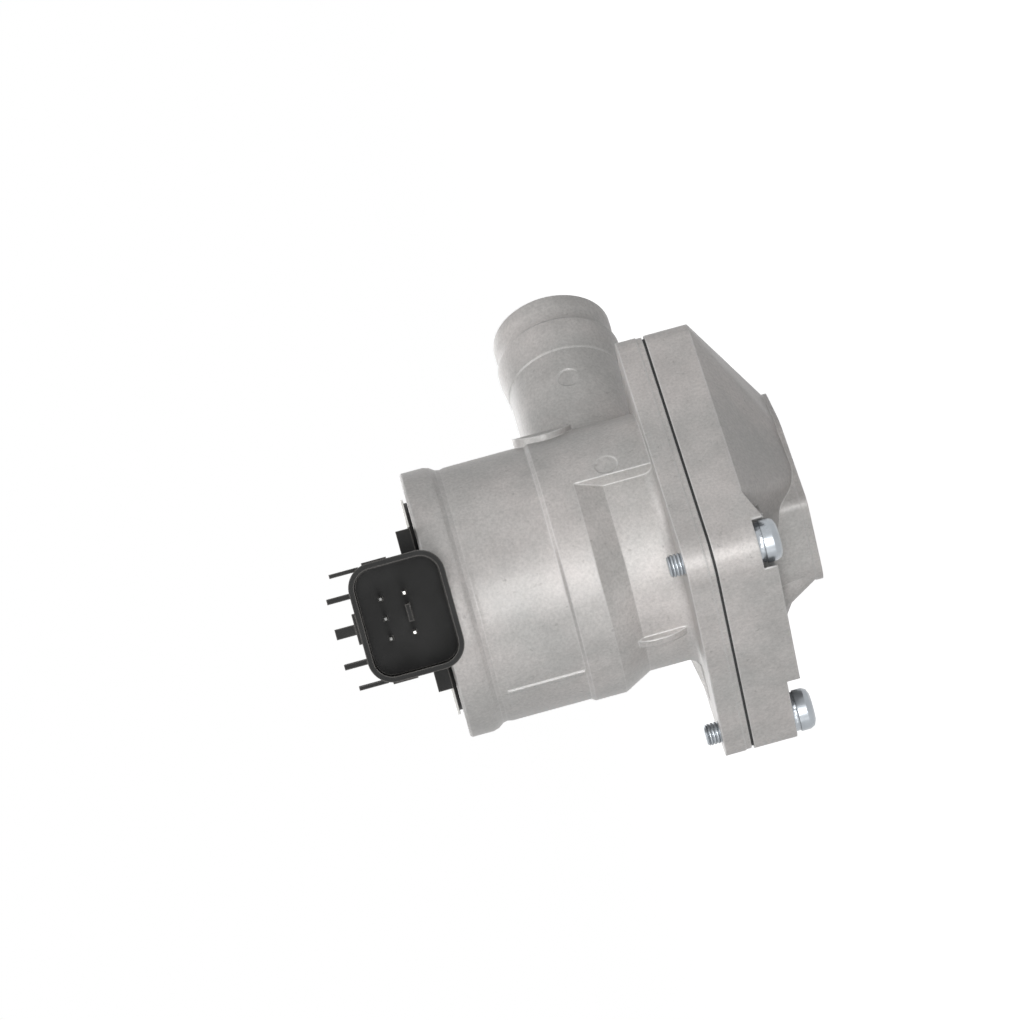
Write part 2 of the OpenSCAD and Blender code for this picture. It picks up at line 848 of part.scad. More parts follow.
// Height of the wire's middle after some turns
function spring_climb(turn) =
    turn < 1 ? turn * closed_pitch
    : turn > spring_turns - 1 ? spring_rise - (spring_turns - turn) * closed_pitch
    : closed_pitch + (turn - 1) * open_pitch;

function spring_point(i, j) =
    let (
        turn = i / spring_steps,
        side = 360 * j / spring_sides,
        radius = spring_r + wire_d / 2 * cos(side)
    )
    [radius * cos(360 * turn), radius * sin(360 * turn),
        z_spring + wire_d / 2 * (1 + sin(side)) + spring_climb(turn)];

module return_spring() {
    points = [for (i = [0:spring_rings], j = [0:spring_sides - 1]) spring_point(i, j)];
    sides = [for (i = [0:spring_rings - 1], j = [0:spring_sides - 1], half = [0, 1])
        let (n = (j + 1) % spring_sides, a = i * spring_sides, b = a + spring_sides)
        half == 0 ? [a + j, b + n, a + n] : [a + j, b + j, b + n]];
    last = spring_rings * spring_sides;
    ends = [[for (j = [0:spring_sides - 1]) j], [for (j = [spring_sides - 1:-1:0]) last + j]];
    color("slategray") on_axis() polyhedron(points = points, faces = concat(sides, ends));
}

module spring_cup() {
    color("silver") on_axis() ring(z_cup, z_web, boss_r + loose_gap, spring_r + cup_overhang);
}

module stem_bush() {
    color("goldenrod") on_axis() ring(z_boss + seal_l, z_coil, stem_r + run_gap, bush_r);
}

module stem_seal() {
    color("black") on_axis() ring(z_boss, z_boss + seal_l, stem_r + 0.03, bush_r);
}

// Solenoid

module guide_sleeve() {
    color("gold") on_axis()
        ring(z_coil, z_end_plate, plunger_r + run_gap, sleeve_r);
}

module stator_core() {
    color("darkgray") on_axis() difference() {
        disc(z_core, z_cap, core_r);
        disc(z_core - cut, z_core + pad_t - pad_proud, pad_r + seat_gap);
    }
}

module stop_pad() {
    color("black") on_axis() disc(z_core - pad_proud, z_core + pad_t - pad_proud, pad_r);
}

module yoke_can() {
    color("dimgray") on_axis() {
        ring(z_coil, z_bobbin, sleeve_r + seat_gap, can_r);
        ring(z_bobbin - cut, can_top, can_r - can_wall, can_r);
    }
}

module terminal_slots(grow) {
    for (side = [-1, 1]) at_connector_local(side) square(
        [terminal_t + 2 * grow, terminal_w + 2 * grow], center = true);
}

module at_connector_local(side) {
    rotate(connector_turn) translate([terminal_d, pin_y(side)]) children();
}

module end_plate() {
    color("dimgray") on_axis() difference() {
        ring(z_end_plate, z_cap, core_r + seat_gap, end_plate_r);
        between(z_end_plate - cut, z_cap + cut) terminal_slots(0.5);
    }
}

module coil_bobbin() {
    low = z_bobbin + 0.1;
    high = z_end_plate - 0.1;
    color("saddlebrown") on_axis() difference() {
        union() {
            ring(low, high, bobbin_bore_r, bobbin_bore_r + bobbin_wall);
            ring(low, low + bobbin_flange_t, bobbin_bore_r, bobbin_r);
            ring(high - bobbin_flange_t, high, bobbin_bore_r, bobbin_r);
        }
        between(high - bobbin_flange_t + 0.3, high + cut) terminal_slots(seat_gap);
    }
}

module coil_winding() {
    color("chocolate") on_axis() ring(z_bobbin + bobbin_flange_t + 0.15,
        z_end_plate - bobbin_flange_t - 0.15, bobbin_bore_r + bobbin_wall + 0.05, winding_r);
}

module coil_terminals() {
    color("gold") on_axis() between(z_end_plate - 0.1 - bobbin_flange_t + 0.3, z_cap + 0.6)
        terminal_slots(0);
}

module cap_seal() {
    color("black") on_axis() rotate_extrude()
        translate([barrel_bore_r - 0.3 - seal_minor, z_cap - 0.02 - seal_minor])
            circle(seal_minor, $fn = 32);
}

// Cap, connector and sensor

function pin_y(side) = side * pin_pitch + pin_shift;

module shroud_outline(shrink) {
    rounded_rect(connector_h - 2 * shrink, connector_w - 2 * shrink, shroud_r - shrink);
}

// Extrudes outlines along the connector, with the outline's X along the valve axis
module along_connector(from, to) {
    translate([from, 0, z_connector]) rotate([0, 90, 0]) rotate([0, 0, 180])
        linear_extrude(to - from) children();
}

module end_cap() {
    color("#2a2a28") difference() {
        union() {
            on_axis() {
                disc(z_cap, cap_lip_z - 0.1, barrel_bore_r - 0.2);
                disc(z_cap, z_disc, cap_r);
            }
            at_connector() {
                translate([-block_back, -block_w / 2, z_disc - cut])
                    cube([block_back + block_front, block_w, block_h + cut]);
                riser();
                difference() {
                    along_connector(shroud_back, connector_reach) shroud_outline(0);
                    along_connector(shroud_floor, connector_reach + cut)
                        shroud_outline(shroud_wall);
                }
                shroud_ribs();
                socket_key();
            }
        }
        at_connector() {
            cap_cavity();
            for (side = [-1, 0, 1]) sensor_pin(side, seat_gap);
            for (side = [-1, 1]) solenoid_pin(side, seat_gap);
        }
        on_axis() difference() {
            disc(z_cap - 1, z_disc + cut, 2 * rim_r);
            disc(z_cap - 2, cap_lip_z - 0.1, barrel_bore_r - 0.2);
            disc(z_cap - 2, z_disc + 1, cap_r);
            along_clear();
        }
    }
}

// Room for the board and the sensor, open towards the coil inside the disc
module cap_cavity() {
    depth = cavity_back + cavity_front;
    translate([-cavity_back, -cavity_w / 2, z_disc + 0.2])
        cube([depth, cavity_w, z_cavity - z_disc - 0.2]);
    intersection() {
        translate([-cavity_back, -cavity_w / 2, z_cap - cut])
            cube([depth, cavity_w, z_cavity - z_cap]);
        disc(z_cap - cut, z_cavity, cap_r - 2);
    }
}

// Sloped hump that carries the pins from the block up to the shroud
module riser() {
    top = column_high + 3;
    translate([0, riser_w / 2, 0]) rotate([90, 0, 0]) linear_extrude(riser_w) polygon([
        [riser_in - 6, z_disc], [shroud_back + 1, z_disc], [shroud_back + 1, top],
        [riser_in, top], [riser_in - 6, z_block - 0.5]
    ]);
}

// The shroud's own space, which the cap's round trim leaves alone
module along_clear() {
    rotate([0, 0, connector_turn]) translate([shroud_back - 0.1, -rim_r, z_cap - 10])
        cube([rim_r, 2 * rim_r, connector_h]);
}

// Upright rib on the cap side of the shroud: y is its middle, root its depth in the wall
module shroud_rib(y, w, h, root) {
    translate([connector_reach - rib_setback, y - w / 2, z_connector + connector_h / 2 - root])
        cube([rib_l, w, h + root]);
}

// Guard ribs, guide ribs, the latch nub on its pad and two low ridges on the sides
module shroud_ribs() {
    for (side = [-1, 1]) {
        shroud_rib(side * (connector_w / 2 - 0.7), 0.9, guard_h, shroud_r - 2.2);
        shroud_rib(side * (connector_w / 2 - 5.9), 1.2, guide_h, shroud_wall / 2);
        translate([connector_reach - rib_setback - 3, side * connector_w / 2 - 0.35, z_connector + 1])
            cube([rib_l + 2, 0.7, 5.5]);
    }
    shroud_rib(0, 6.8, 0.7, shroud_wall / 3);
    translate([3, 0, 0]) intersection() {
        shroud_rib(0, 2.3, nub_h, 0);
        translate([connector_reach - rib_setback, -1.2, z_connector]) cube([3.2, 2.4, connector_h]);
    }
}

// Polarising key between the two solenoid pins
module socket_key() {
    translate([shroud_floor - cut, pin_shift - key_w / 2, column_low - key_h / 2])
        cube([pin_reach - shroud_floor, key_w, key_h]);
}

module sensor_pin(side, grow) {
    w = pin_w + 2 * grow;
    translate([sensor_pin_d - w / 2, pin_y(side) - w / 2, column_high - w / 2])
        cube([pin_reach - sensor_pin_d + w / 2, w, w]);
    translate([sensor_pin_d - w / 2, pin_y(side) - w / 2, z_board + 0.1])
        cube([w, w, column_high - z_board]);
}

module solenoid_pin(side, grow) {
    w = pin_w + 2 * grow;
    translate([terminal_d + 1 - w / 2, pin_y(side) - w / 2, column_low - w / 2])
        cube([pin_reach - terminal_d - 1 + w / 2, w, w]);
    translate([terminal_d + 1 - w / 2, pin_y(side) - w / 2, z_cap + 0.1])
        cube([w, w, column_low - z_cap]);
}

module sensor_pins() {
    color("silver") at_connector() for (side = [-1, 0, 1]) sensor_pin(side, 0);
}

module solenoid_pins() {
    color("white") at_connector() for (side = [-1, 1]) solenoid_pin(side, 0);
}

module retaining_plate() {
    tab_r = cap_r + 0.9;
    color("white") difference() {
        on_axis() disc(z_disc, z_disc + retainer_t, tab_r);
        at_connector() translate([-block_back - loose_gap, -block_w / 2 - loose_gap, z_disc - cut])
            cube([2 * rim_r, block_w + 2 * loose_gap, retainer_t + 2 * cut]);
    }
}

module sensor_board() {
    color("darkgreen") at_connector() difference() {
        translate([0.3 - cavity_back, 0.3 - cavity_w / 2, z_board])
            cube([cavity_back + cavity_front - 0.6, cavity_w - 0.6, board_t]);
        for (side = [-1, 0, 1]) sensor_pin(side, seat_gap);
        for (side = [-1, 1])
            translate([terminal_d - notch_w / 2, pin_y(side) - notch_w / 2, z_board - cut])
                cube([notch_w + 1, notch_w, board_t + 2 * cut]);
    }
}

module pressure_sensor() {
    color("dimgray") at_connector() {
        translate([-sensor_w / 2, -sensor_w / 2, z_board - sensor_t])
            cube([sensor_w, sensor_w, sensor_t]);
    }
}

valve_body();
outlet_housing();
flange_gasket();
flange_screws();
screw_washers();
reed_seat_plate();
reed_seat_seal();
reed_root();
reed_petal_left();
reed_petal_right();
reed_stopper();
reed_screws();
poppet_plate();
poppet_seal();
poppet_nut();
valve_stem();
plunger();
return_spring();
spring_cup();
stem_bush();
stem_seal();
guide_sleeve();
stator_core();
stop_pad();
yoke_can();
end_plate();
coil_bobbin();
coil_winding();
coil_terminals();
cap_seal();
end_cap();
retaining_plate();
sensor_board();
pressure_sensor();
sensor_pins();
solenoid_pins();
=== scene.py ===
"""Dresses the air valve's CAD frame: rounded castings, finishes, camera and studio."""
import json
import math

import bpy
from mathutils import Matrix, Vector

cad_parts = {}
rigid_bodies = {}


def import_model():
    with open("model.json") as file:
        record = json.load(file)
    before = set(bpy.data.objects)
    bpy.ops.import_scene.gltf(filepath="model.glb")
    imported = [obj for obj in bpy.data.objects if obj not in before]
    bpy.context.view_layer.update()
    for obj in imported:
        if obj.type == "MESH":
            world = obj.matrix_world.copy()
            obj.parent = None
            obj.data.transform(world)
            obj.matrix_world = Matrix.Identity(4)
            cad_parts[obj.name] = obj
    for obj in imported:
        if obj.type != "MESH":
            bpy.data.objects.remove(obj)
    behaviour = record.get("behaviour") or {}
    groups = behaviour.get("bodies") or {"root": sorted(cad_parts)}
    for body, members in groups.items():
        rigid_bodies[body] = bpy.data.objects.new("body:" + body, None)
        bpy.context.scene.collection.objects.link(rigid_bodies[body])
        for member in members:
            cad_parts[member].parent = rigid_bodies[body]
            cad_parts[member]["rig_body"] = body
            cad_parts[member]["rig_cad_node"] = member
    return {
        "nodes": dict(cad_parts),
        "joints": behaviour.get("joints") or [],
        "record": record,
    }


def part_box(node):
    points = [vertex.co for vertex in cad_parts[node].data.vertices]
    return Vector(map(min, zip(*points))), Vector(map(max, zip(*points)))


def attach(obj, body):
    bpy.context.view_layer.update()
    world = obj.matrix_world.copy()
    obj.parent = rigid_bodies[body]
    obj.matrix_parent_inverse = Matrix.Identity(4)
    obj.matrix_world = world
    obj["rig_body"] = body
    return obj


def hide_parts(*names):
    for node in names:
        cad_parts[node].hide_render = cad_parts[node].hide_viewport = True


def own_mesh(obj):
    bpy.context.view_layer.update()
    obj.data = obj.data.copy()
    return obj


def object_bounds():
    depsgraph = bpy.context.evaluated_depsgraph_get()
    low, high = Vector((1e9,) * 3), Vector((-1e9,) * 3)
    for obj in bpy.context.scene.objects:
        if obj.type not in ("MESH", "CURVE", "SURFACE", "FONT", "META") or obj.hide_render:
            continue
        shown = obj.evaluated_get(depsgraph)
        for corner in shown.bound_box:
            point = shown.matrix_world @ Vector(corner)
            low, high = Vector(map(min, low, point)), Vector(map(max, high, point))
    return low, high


bl_info = {
    "name": "Air Valve Studio",
    "version": (1, 0, 0),
    "blender": (4, 5, 0),
    "location": "View3D > Sidebar > Air Valve",
    "description": "Rounds and finishes the air valve's pieces and sets up its studio",
    "category": "Object",
}

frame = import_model()
NODES = frame["nodes"]
CAD_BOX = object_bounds()
MM = 0.001
SLOTS = {part["node"]: part["material_slot"] for part in frame["record"]["subparts"]}
BODY_OF = {
    name: body
    for body, names in frame["record"]["behaviour"]["bodies"].items()
    for name in names
}

# Middle of the valve, which stands on its outlet face with the connector end up
MIDDLE = Vector((-10, 0, 45)) * MM
IMAGE_PX = 1020
SENSOR_MM = 36
CAMERA_NEAR = 0.01
CAMERA_FAR = 20

# Each lamp: the setting that holds its power, azimuth and elevation in degrees, and
# distance from the valve's middle and size in metres
LAMPS = (
    ("key", 220, 2, 0.9, (0.7, 0.2)),
    ("side", 174, 3, 0.9, (0.3, 0.2)),
    ("fill", 254, 55, 1.0, (0.8, 0.8)),
    ("back", 45, 32, 1.0, (0.9, 0.7)),
)
BACKDROP_STRENGTH = 1.0
FLOOR_COLOUR = (0.24, 0.24, 0.239, 1)
FLOOR_GLOW = 0.975  # Added for the camera alone, so that the lit floor comes out white
FLOOR_SIZE = 12
FLOOR_GAP = 0.05 * MM

# Radii of rounded edges
SCREW_EDGE = 0.12 * MM
SMALL_EDGE = 0.08 * MM  # Spring washers and reed screws
NUT_EDGE = 0.15 * MM
CAP_EDGE = 0.22 * MM
PLATE_EDGE = 0.12 * MM
PIN_EDGE = 0.14 * MM

# Clean-up of a copied mesh, and the angles from which an edge is sharp
MERGE_DISTANCE = 0.004 * MM
FLAT_ANGLE = math.radians(0.7)
BEVEL_ANGLE = math.radians(16)
SMOOTH_ANGLE = math.radians(40)
INNER_SMOOTH_ANGLE = math.radians(30)
SPRING_SMOOTH_ANGLE = math.radians(50)

SPRING_STEPS = 26  # Rings of the mesh in each turn
WIRE_SIDES = 12
CLOSED_PITCH = 1.05  # Rise of an end turn, in wire diameters

# Most of a noise lies between these values
NOISE_LOW = 0.3
NOISE_HIGH = 0.7

# How fully the lighter edges (painted highlight, partly wear) and the zinc's dark edges (painted
# shade) hide the colour under them
CASTING_EDGE_HIGHLIGHT = 0.85
PLASTIC_EDGE_HIGHLIGHT = 0.8
ZINC_EDGE_SHADE = 0.7
# Colour of the painted edge shade on the zinc
EDGE_SHADE_COLOUR = (0.06, 0.066, 0.073)
EDGE_SAMPLES = 6

# Sockets of a Mix node that mixes colours
MIX_FACTOR, MIX_FIRST, MIX_SECOND, MIX_RESULT = 0, 6, 7, 2


# Shader maths


class Field:
    """A number that varies over a surface; expressions on it add Math nodes."""

    def __init__(self, tree, socket):
        self.tree = tree
        self.socket = socket

    def _math(self, operation, first, second):
        values = {0: first, 1: second}
        return self.tree.add("ShaderNodeMath", {"operation": operation}, values).field()

    def __add__(self, other):
        return self._math("ADD", self, other)

    def __sub__(self, other):
        return self._math("SUBTRACT", self, other)

    def __rsub__(self, other):
        return self._math("SUBTRACT", other, self)

    def __mul__(self, other):
        return self._math("MULTIPLY", self, other)

    __rmul__ = __mul__


class Built:
    """A node that has been added, with its outputs at hand."""

    def __init__(self, tree, node):
        self.tree = tree
        self.node = node

    def field(self, output=0):
        return Field(self.tree, self.node.outputs[output])

    def out(self, output=0):
        return self.node.outputs[output]


class Finish:
    """One material: its nodes, its noises and its Principled shader."""

    def __init__(self, name):
        self.material = bpy.data.materials.new(name)
        self.material.use_nodes = True
        self.nodes = self.material.node_tree.nodes
        self.links = self.material.node_tree.links
        self.shader = self.nodes["Principled BSDF"]
        self.place = self.add("ShaderNodeTexCoord").out("Object")

    def add(self, kind, settings=None, values=None):
        """Adds any node: settings first, then the values or links of its sockets."""
        node = self.nodes.new(kind)
        for key, value in (settings or {}).items():
            setattr(node, key, value)
        for key, value in (values or {}).items():
            self.set(node.inputs[key], value)
        return Built(self, node)

    def set(self, socket, value):
        """Links a field or a socket, or sets a plain value."""
        if isinstance(value, Field):
            value = value.socket
        if isinstance(value, bpy.types.NodeSocket):
            self.links.new(value, socket)
        elif socket.type == "RGBA" and len(value) == 3:
            socket.default_value = (*value, 1)
        else:
            socket.default_value = value

    def noise(self, per_m, detail=3.0, roughness=0.5, stretch=None):
        """Noise on Object coordinates with so many cells per metre."""
        place = self.place
        if stretch:
            place = self.add("ShaderNodeMapping", {}, {"Vector": place, "Scale": stretch}).out()
        values = {"Vector": place, "Scale": per_m, "Detail": detail, "Roughness": roughness}
        return self.add("ShaderNodeTexNoise", {}, values).field()

    def spread(self, field, low, high, to_low=0.0, to_high=1.0):
        """Maps a field from one range to another, held at its ends."""
        values = {"Value": field, "From Min": low, "From Max": high,
                  "To Min": to_low, "To Max": to_high}
        return self.add("ShaderNodeMapRange", {"clamp": True}, values).field()

    def vary(self, noise, to_low=0.0, to_high=1.0):
        """Maps most of a noise to another range."""
        return self.spread(noise, NOISE_LOW, NOISE_HIGH, to_low, to_high)

    def blend(self, amount, first, second, mode="MIX"):
        """Mixes two colours by a field."""
        node = self.add("ShaderNodeMix", {"data_type": "RGBA", "blend_type": mode})
        for index, value in ((MIX_FACTOR, amount), (MIX_FIRST, first), (MIX_SECOND, second)):
            self.set(node.node.inputs[index], value)
        return node.out(MIX_RESULT)

    def bump(self, height, distance, normal=None):
        """Normal of a surface that rises by the distance where the height is 1."""
        values = {"Height": height, "Distance": distance, "Strength": 1.0}
        if normal is not None:
            values["Normal"] = normal
        return self.add("ShaderNodeBump", {}, values).out()

    def soft_edges(self, radius):
        """Normal that rounds the corners of what is too small to bevel."""
        return self.add("ShaderNodeBevel", {"samples": EDGE_SAMPLES}, {"Radius": radius}).out()

    def edge(self, radius, low=0.01, high=0.12):
        """Field that is 1 along edges and creases and 0 on open faces."""
        plain = self.add("ShaderNodeNewGeometry").out("Normal")
        values = {0: self.soft_edges(radius), 1: plain}
        match = self.add("ShaderNodeVectorMath", {"operation": "DOT_PRODUCT"}, values)
        return self.spread(1 - match.field("Value"), low, high)

    def finish(self, **values):
        """Sets the shader's sockets; the names have spaces in place of underscores."""
        for key, value in values.items():
            self.set(self.shader.inputs[key.replace("_", " ")], value)
        return self.material


# Finishes


def cast_metal(look):
    """Bare die casting: cloudy grey with warm patches, fine grain and dull sheen."""
    f = Finish("die_casting")
    cloud = f.noise(34, 4, 0.6)
    patch = f.noise(95, 5, 0.65)
    grain = f.noise(1500, 2, 0.7)
    speck = f.noise(620, 3, 0.6)
    tint = f.blend(f.spread(cloud, 0.38, 0.62), tuple(look.casting_cool), tuple(look.casting_warm))
    mottled = f.vary(patch, 0.87, 1.07) * f.vary(grain, 0.88, 1.10)
    pits = f.spread(speck, 0.66, 0.74)
    shade = mottled * (1 - 0.22 * pits)
    grey = f.add("ShaderNodeCombineColor", {}, {0: shade, 1: shade, 2: shade}).out()
    colour = f.blend(1.0, tint, grey, "MULTIPLY")
    # Edges and creases lighten towards the highlight colour: a painted highlight, partly wear; the
    # lower roughness there is the wear
    wear_and_highlight = f.edge(look.casting_edge_reach, 0.004, 0.06) * f.spread(cloud, 0.25, 0.6, 0.45, 1.0)
    height = 0.6 * grain + 0.8 * f.noise(420, 3, 0.6) - 0.8 * pits
    rough = look.casting_roughness
    return f.finish(
        Base_Color=f.blend(CASTING_EDGE_HIGHLIGHT * wear_and_highlight, colour, tuple(look.casting_highlight_colour)),
        Metallic=look.casting_metallic,
        Specular_IOR_Level=0.35,
        Roughness=f.vary(patch, rough - 0.05, rough + 0.07) - 0.12 * wear_and_highlight,
        Normal=f.bump(height, 0.03 * MM * look.casting_grain, f.soft_edges(look.casting_edge_reach)),
    )


def zinc_plate(look):
    """Bright zinc plating with faint streaks."""
    f = Finish("zinc_plating")
    cloud = f.noise(300, 3, 0.5)
    fine = f.noise(2600, 2, 0.6)
    dimmer = tuple(c * 0.86 for c in look.zinc)
    colour = f.blend(f.vary(cloud), tuple(look.zinc), dimmer)
    # Edges and creases darkened almost to black: painted shade
    edge_shade = f.edge(0.3 * MM, 0.02, 0.16)
    return f.finish(
        Base_Color=f.blend(ZINC_EDGE_SHADE * edge_shade, colour, EDGE_SHADE_COLOUR),
        Metallic=0.8,
        Roughness=f.vary(cloud, 0.26, 0.36),
        Normal=f.bump(fine, 0.006 * MM),
    )


def moulded(name, colour, rough, look):
    """Moulded plastic with a fine spark-eroded grain and lighter edges: a painted highlight,
    partly wear.
    """
    f = Finish(name)
    cloud = f.noise(120, 4, 0.6)
    grain = f.noise(3200, 2, 0.7)
    lighter = tuple(min(1.0, c * 1.3 + 0.003) for c in colour)
    tone = f.blend(f.spread(cloud, 0.35, 0.7), tuple(colour), lighter)
    # Lighter edges and creases: painted highlight, partly wear
    rub_and_highlight = f.edge(0.5 * MM) * f.spread(grain, 0.3, 0.6, 0.6, 1.0)
    return f.finish(
        Base_Color=f.blend(PLASTIC_EDGE_HIGHLIGHT * rub_and_highlight, tone, tuple(look.plastic_highlight_colour)),
        Roughness=f.vary(cloud, rough - 0.05, rough + 0.06),
        Specular_IOR_Level=0.2,
        Normal=f.bump(grain, 0.02 * MM * look.plastic_grain),
    )


def rubber(name, colour):
    """Matte rubber with a slight bloom."""
    f = Finish(name)
    cloud = f.noise(220, 4, 0.6)
    tone = f.blend(f.spread(cloud, 0.4, 0.75), colour, tuple(c * 1.7 + 0.01 for c in colour))
    return f.finish(
        Base_Color=tone,
        Roughness=f.vary(cloud, 0.62, 0.8),
        Normal=f.bump(f.noise(2400, 2, 0.6), 0.015 * MM),
    )


def turned_metal(name, colour, rough, lines_per_m=0.0):
    """Machined or drawn metal; lines give the tool's fine feed marks along the valve."""
    f = Finish(name)
    cloud = f.noise(180, 4, 0.6)
    tone = f.blend(f.vary(cloud), colour, tuple(c * 0.82 for c in colour))
    height = f.noise(1800, 3, 0.6)
    if lines_per_m:
        height = height * 0.4 + f.noise(lines_per_m, 1, 0.5, (0.02, 0.02, 1))
    return f.finish(
        Base_Color=tone,
        Metallic=0.95,
        Roughness=f.vary(cloud, rough - 0.05, rough + 0.06),
        Normal=f.bump(height, 0.008 * MM),
    )


def wound_copper():
    """Enamelled winding: even layers of wire round the valve axis."""
    f = Finish("enamelled_copper")
    split = f.add("ShaderNodeSeparateXYZ", {}, {0: f.place})
    layer = 0.45 * MM
    turns = split.field(2) * (2 * math.pi / layer)
    wave = f.add("ShaderNodeMath", {"operation": "SINE"}, {0: turns}).field()
    cloud = f.noise(300, 3, 0.6)
    # Dark in the grooves between turns and light on their crowns: painted shade and painted
    # highlight
    tone = f.blend(f.spread(wave, -1, 1), (0.20, 0.07, 0.03), (0.62, 0.27, 0.12))
    return f.finish(
        Base_Color=tone,
        Metallic=0.8,
        Roughness=f.vary(cloud, 0.25, 0.38),
        Normal=f.bump(wave, 0.08 * MM),
    )


def circuit_board():
    """Green solder mask with copper areas under it."""
    f = Finish("solder_mask")
    tracks = f.add("ShaderNodeTexVoronoi", {"distance": "MANHATTAN"},
                   {"Vector": f.place, "Scale": 320.0}).field()
    tone = f.blend(f.spread(tracks, 0.32, 0.38), (0.02, 0.17, 0.06), (0.03, 0.26, 0.09))
    return f.finish(
        Base_Color=tone,
        Roughness=f.vary(f.noise(400), 0.28, 0.4),
        Normal=f.bump(f.spread(tracks, 0.32, 0.38), 0.03 * MM),
    )


def all_finishes(look):
    """Every record slot's material, made once."""
    if all_finishes.made:
        return all_finishes.made
    all_finishes.made.update({
        "casting": cast_metal(look),
        "machined_aluminium": turned_metal("milled_aluminium", (0.68, 0.68, 0.69), 0.32),
        "gasket": rubber("gasket_coating", (0.035, 0.035, 0.036)),
        "zinc_steel": zinc_plate(look),
        "stainless": turned_metal("stainless_steel", (0.56, 0.56, 0.55), 0.26),
        "soft_iron": turned_metal("soft_iron", (0.36, 0.36, 0.35), 0.38, 2500.0),
        "plate_steel": turned_metal("pale_plate", (0.78, 0.77, 0.74), 0.36),
        "bronze": turned_metal("bearing_bronze", (0.55, 0.38, 0.18), 0.33, 2500.0),
        "tinned_pins": turned_metal("tinned_brass", (0.83, 0.82, 0.79), 0.2),
        # Darker copy of the tinned pins: painted shade
        "shaded_tin_pins": turned_metal("dulled_tin", (0.22, 0.22, 0.215), 0.5),
        "copper_wire": wound_copper(),
        "rubber": rubber("black_rubber", (0.022, 0.022, 0.023)),
        "bobbin_plastic": moulded("bobbin_resin", (0.22, 0.10, 0.045), 0.5, look),
        "black_plastic": moulded("connector_resin", look.plastic, 0.5, look),
        "board": circuit_board(),
        "sensor_plastic": moulded("sensor_case", (0.03, 0.03, 0.032), 0.42, look),
    })
    return all_finishes.made


all_finishes.made = {}


# Modelling helpers


def alone(obj):
    """Deselects everything, then selects one object and makes it active."""
    bpy.ops.object.select_all(action="DESELECT")
    obj.select_set(True)
    bpy.context.view_layer.objects.active = obj
    return obj


def edit(obj):
    """Opens one object in edit mode with all of it selected."""
    alone(obj)
    bpy.ops.object.mode_set(mode="EDIT")
    bpy.ops.mesh.select_all(action="SELECT")


def leave_edit():
    bpy.ops.object.mode_set(mode="OBJECT")


def apply_modifiers(obj):
    """Applies an object's modifiers from the first to the last."""
    alone(obj)
    for modifier in list(obj.modifiers):
        bpy.ops.object.modifier_apply(modifier=modifier.name)


def dress(obj, node_name, look, finish=None):
    """Gives a piece its node's body, slot and finish, and puts it in the node's place."""
    obj.data.materials.clear()
    obj.data.materials.append(all_finishes(look)[finish or SLOTS[node_name]])
    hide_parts(node_name)
    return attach(obj, BODY_OF[node_name])


def rounded_copy(node_name, piece_name, radius, look, segments=2, finish=None):
    """A copy of a CAD node with its sharp edges rounded, standing for the node."""
    alone(NODES[node_name])
    bpy.ops.object.duplicate()
    obj = bpy.context.active_object
    obj.name = obj.data.name = piece_name
    obj.parent = None
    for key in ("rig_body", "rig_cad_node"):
        if key in obj:
            del obj[key]
    edit(obj)
    bpy.ops.mesh.remove_doubles(threshold=MERGE_DISTANCE)
    bpy.ops.mesh.dissolve_limited(angle_limit=FLAT_ANGLE)
    leave_edit()
    bevel = obj.modifiers.new("round_edges", "BEVEL")
    bevel.width = radius
    bevel.segments = segments
    bevel.limit_method = "ANGLE"
    bevel.angle_limit = BEVEL_ANGLE
    bevel.use_clamp_overlap = True
    bevel.miter_outer = "MITER_ARC"
    weighted = obj.modifiers.new("flat_faces_win", "WEIGHTED_NORMAL")
    weighted.keep_sharp = True
    apply_modifiers(obj)
    bpy.ops.object.shade_smooth_by_angle(angle=SMOOTH_ANGLE)
    return dress(obj, node_name, look, finish)


# Settings


